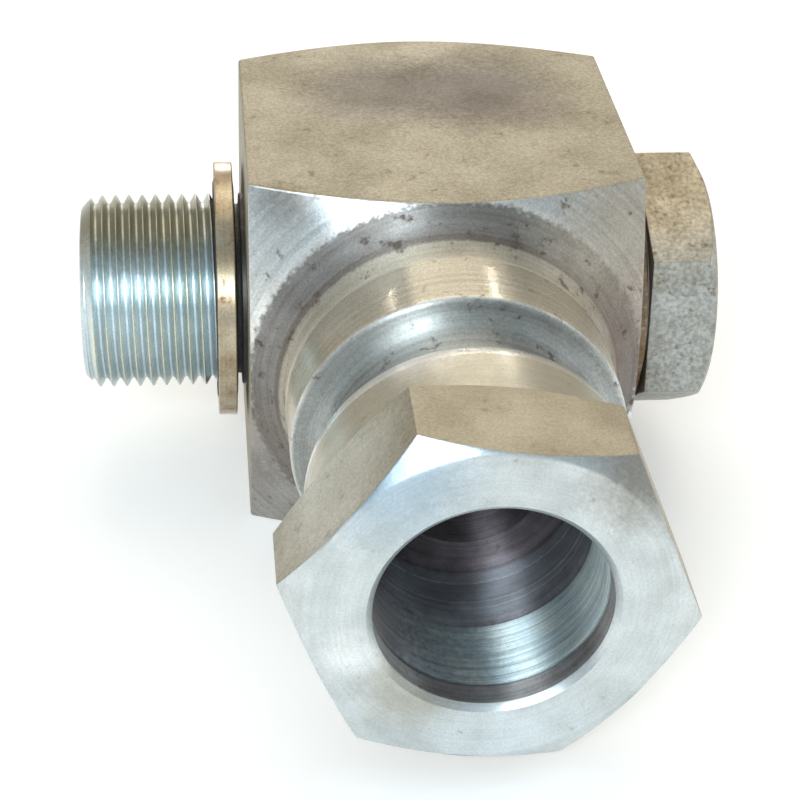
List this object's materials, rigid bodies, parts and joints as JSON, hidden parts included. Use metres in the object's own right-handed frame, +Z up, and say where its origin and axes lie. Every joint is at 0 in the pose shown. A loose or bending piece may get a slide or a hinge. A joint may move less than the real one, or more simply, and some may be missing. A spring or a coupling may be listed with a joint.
{
  "type": "banjo hose fitting",
  "caption": "Hydraulic banjo fitting: square-bar body with a hollow bolt through its eye, bonded seals and a compression nut with cutting ring on the tube spigot.",
  "frame": {"origin": "middle of the body's resting face, straight below the point where the bolt's axis and the spigot's axis cross", "axes": "+Z up; the bolt lies along X with its threaded stud towards -X and its hexagon head towards +X; the spigot with its nut points along -Y"},
  "size_m": [0.0852, 0.1016, 0.0508],
  "materials": {
    "body_zinc": "dull zinc plate over turned and drawn bar, stained",
    "bolt_zinc": "blue-white zinc plate",
    "seal_steel": "yellow passivated zinc plate",
    "seal_rubber": "matt black nitrile rubber",
    "ring_steel": "fine turned, hardened steel",
    "nut_zinc": "zinc plate, turned face, worn bright at the edges"
  },
  "bodies": {
    "body": {"banjo_body": "body_zinc"},
    "port_seal": {"port_seal_washer": "seal_steel", "port_seal_lip": "seal_rubber"},
    "head_seal": {"head_seal_washer": "seal_steel", "head_seal_lip": "seal_rubber"},
    "bolt": {"banjo_bolt": "bolt_zinc"},
    "ring": {"cutting_ring": "ring_steel"},
    "nut": {"compression_nut": "nut_zinc"}
  },
  "joints": [
    {"name": "port_seal_slide", "type": "slide", "parent": "body", "child": "port_seal", "axis": [-1, 0, 0], "range_m": [-0.00115, 0.0215]},
    {"name": "bolt_withdraw", "type": "slide", "parent": "body", "child": "head_seal", "axis": [1, 0, 0], "range_m": [0, 0.078]},
    {"name": "bolt_turn", "type": "hinge", "parent": "head_seal", "child": "bolt", "pos_m": [0, 0, 0.0254], "axis": [1, 0, 0], "continuous": true},
    {"name": "ring_slide", "type": "slide", "parent": "body", "child": "ring", "axis": [0, -1, 0], "range_m": [0, 0.0165]},
    {"name": "nut_turn", "type": "hinge", "parent": "ring", "child": "nut", "pos_m": [0, 0, 0.0254], "axis": [0, -1, 0], "range_deg": [0, 2880]}
  ],
  "couplings": [
    {"joint": "ring_slide", "follows": "nut_turn", "m_per_rad": 0.00031831}
  ]
}
